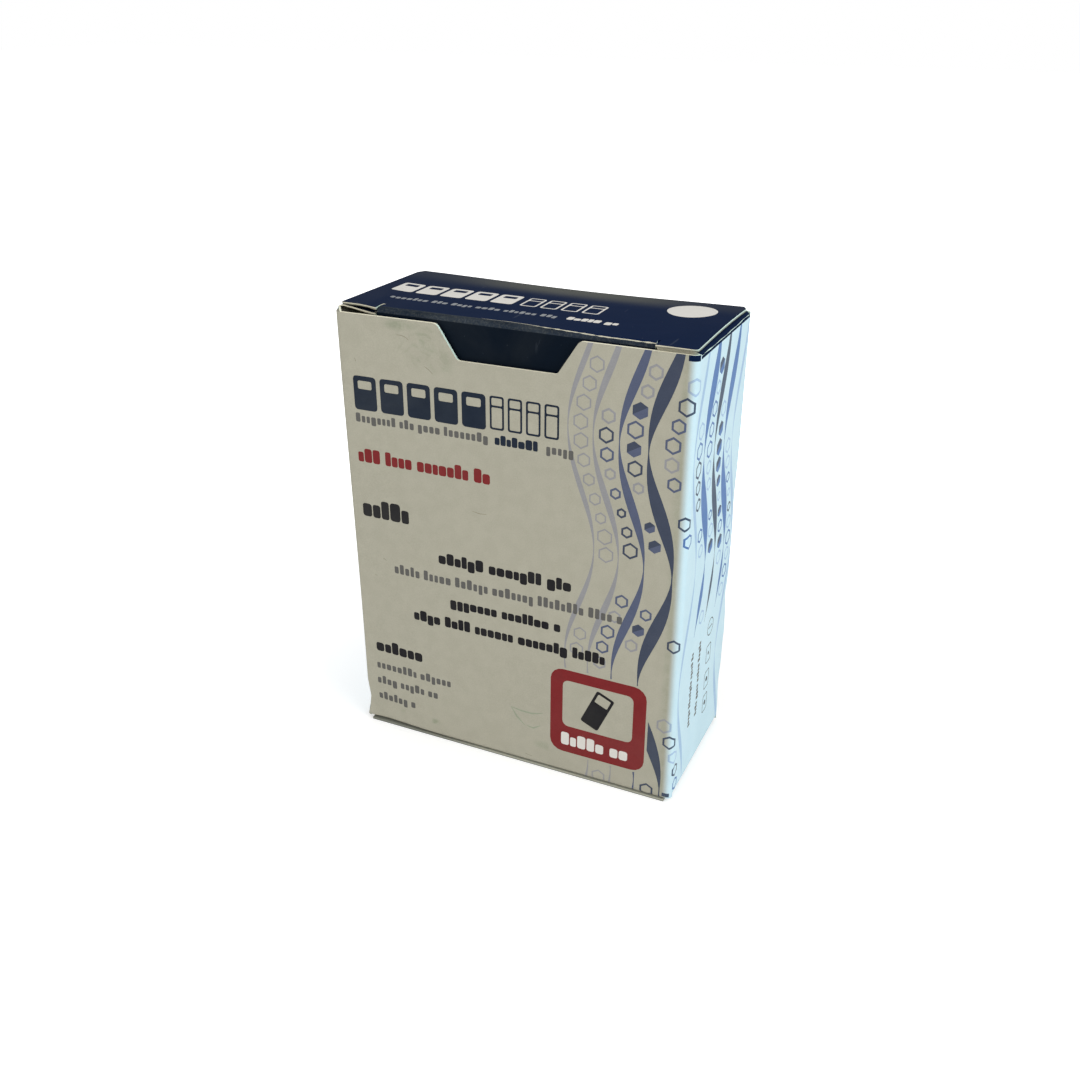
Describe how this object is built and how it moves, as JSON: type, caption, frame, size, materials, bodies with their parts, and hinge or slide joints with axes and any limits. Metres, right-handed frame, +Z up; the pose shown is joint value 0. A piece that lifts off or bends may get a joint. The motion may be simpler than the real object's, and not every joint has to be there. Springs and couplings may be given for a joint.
{
  "type": "microscope slide box",
  "caption": "Folded and glued paperboard carton with a hinged tuck-in lid and a thumb notch, filled with upright glass microscope slides with a white marking area.",
  "frame": {"origin": "middle of the carton's underside, on the surface it stands on", "axes": "+Z up along the height; -Y towards the front wall with the thumb notch; +X to the right, along the width and the stack of slides"},
  "size_m": [0.061, 0.0276, 0.08],
  "materials": {
    "carton_board": "satin coated board, printed",
    "lid_board": "satin coated board, printed dark blue",
    "slide_glass": "polished faces, ground edges, white coating at one end"
  },
  "bodies": {
    "carton": {"carton": "carton_board", "slide_01": "slide_glass", "slide_02": "slide_glass", "slide_03": "slide_glass", "slide_04": "slide_glass", "slide_05": "slide_glass", "slide_06": "slide_glass", "slide_07": "slide_glass", "slide_08": "slide_glass", "slide_09": "slide_glass", "slide_10": "slide_glass", "slide_11": "slide_glass", "slide_12": "slide_glass", "slide_13": "slide_glass", "slide_14": "slide_glass", "slide_15": "slide_glass", "slide_16": "slide_glass", "slide_17": "slide_glass", "slide_18": "slide_glass", "slide_19": "slide_glass", "slide_20": "slide_glass", "slide_21": "slide_glass", "slide_22": "slide_glass", "slide_23": "slide_glass", "slide_24": "slide_glass", "slide_25": "slide_glass", "slide_26": "slide_glass", "slide_27": "slide_glass", "slide_28": "slide_glass", "slide_29": "slide_glass", "slide_30": "slide_glass", "slide_31": "slide_glass", "slide_32": "slide_glass", "slide_33": "slide_glass", "slide_34": "slide_glass", "slide_35": "slide_glass", "slide_36": "slide_glass", "slide_37": "slide_glass", "slide_38": "slide_glass", "slide_39": "slide_glass", "slide_40": "slide_glass", "slide_41": "slide_glass", "slide_42": "slide_glass", "slide_43": "slide_glass", "slide_44": "slide_glass", "slide_45": "slide_glass", "slide_46": "slide_glass", "slide_47": "slide_glass", "slide_48": "slide_glass", "slide_49": "slide_glass", "slide_50": "slide_glass"},
    "lid": {"lid": "lid_board"},
    "tuck_flap": {"tuck_flap": "lid_board"}
  },
  "joints": [
    {"name": "lid_fold", "type": "hinge", "parent": "carton", "child": "lid", "pos_m": [0, 0.01356, 0.07971], "axis": [-1, 0, 0], "range_deg": [0, 110]},
    {"name": "tuck_fold", "type": "hinge", "parent": "lid", "child": "tuck_flap", "pos_m": [0, -0.01224, 0.07939], "axis": [1, 0, 0], "range_deg": [0, 55]}
  ],
  "couplings": [
    {"joint": "tuck_fold", "follows": "lid_fold", "ratio": 0.5}
  ]
}
